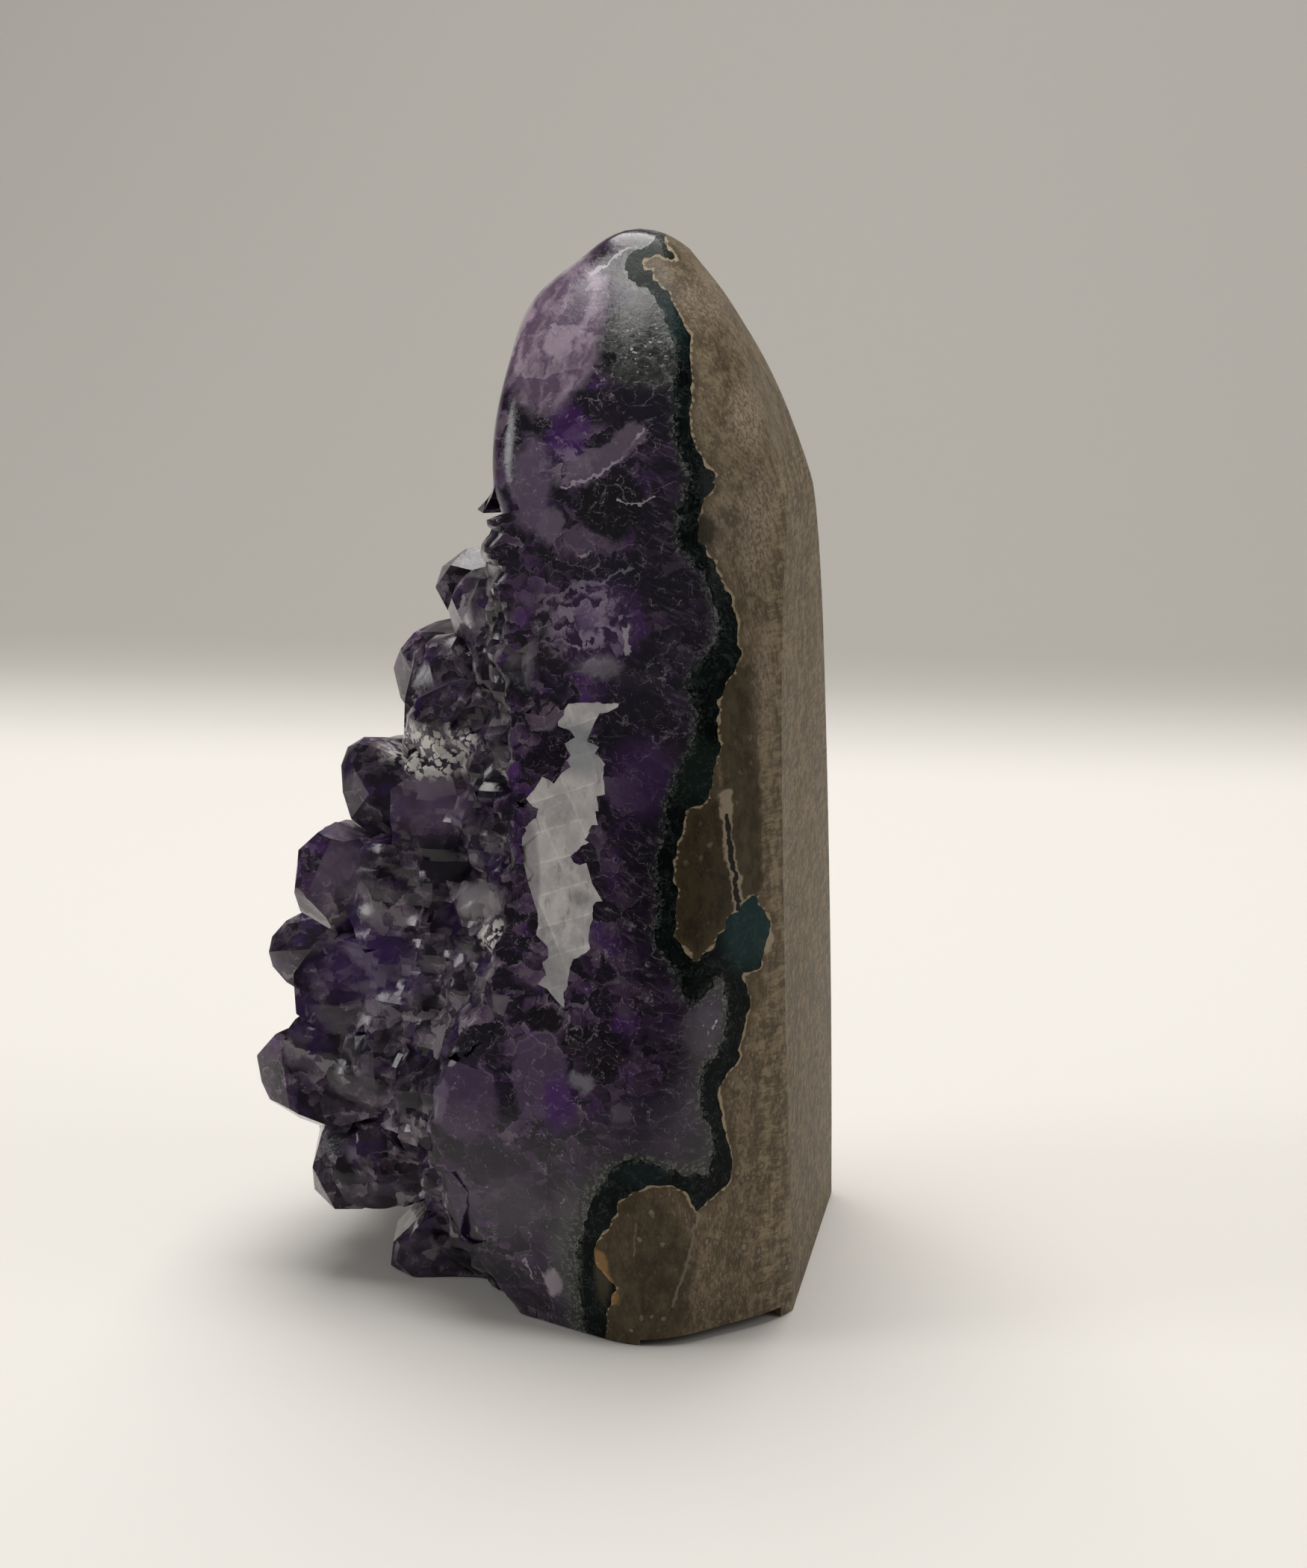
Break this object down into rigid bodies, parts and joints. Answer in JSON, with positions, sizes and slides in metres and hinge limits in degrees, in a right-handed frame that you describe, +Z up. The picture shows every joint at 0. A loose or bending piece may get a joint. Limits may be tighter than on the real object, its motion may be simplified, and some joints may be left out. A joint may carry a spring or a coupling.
{
  "type": "amethyst geode",
  "caption": "Upright cut-base amethyst geode piece: basalt back, dark green lining, amethyst crystal crust and a calcite crystal, with polished ends.",
  "frame": {"origin": "centre of the bounding box, on the sawn base", "axes": "+Z up through the height; -Y out of the crystal front; +Y out of the ground basalt back; +X out of the polished end that shows the layers"},
  "size_m": [0.0872, 0.0826, 0.15],
  "materials": {
    "basalt": "ground, grey-brown with fine pores",
    "lining": "polished, green-black with a thin cream line",
    "amethyst": "clear purple quartz, natural crystal faces and polished ends",
    "calcite": "translucent grey-white with cleavage steps"
  },
  "bodies": {
    "root": {"basalt_matrix": "basalt", "celadonite_lining": "lining", "amethyst_crust": "amethyst", "calcite_crystal": "calcite"}
  },
  "joints": []
}
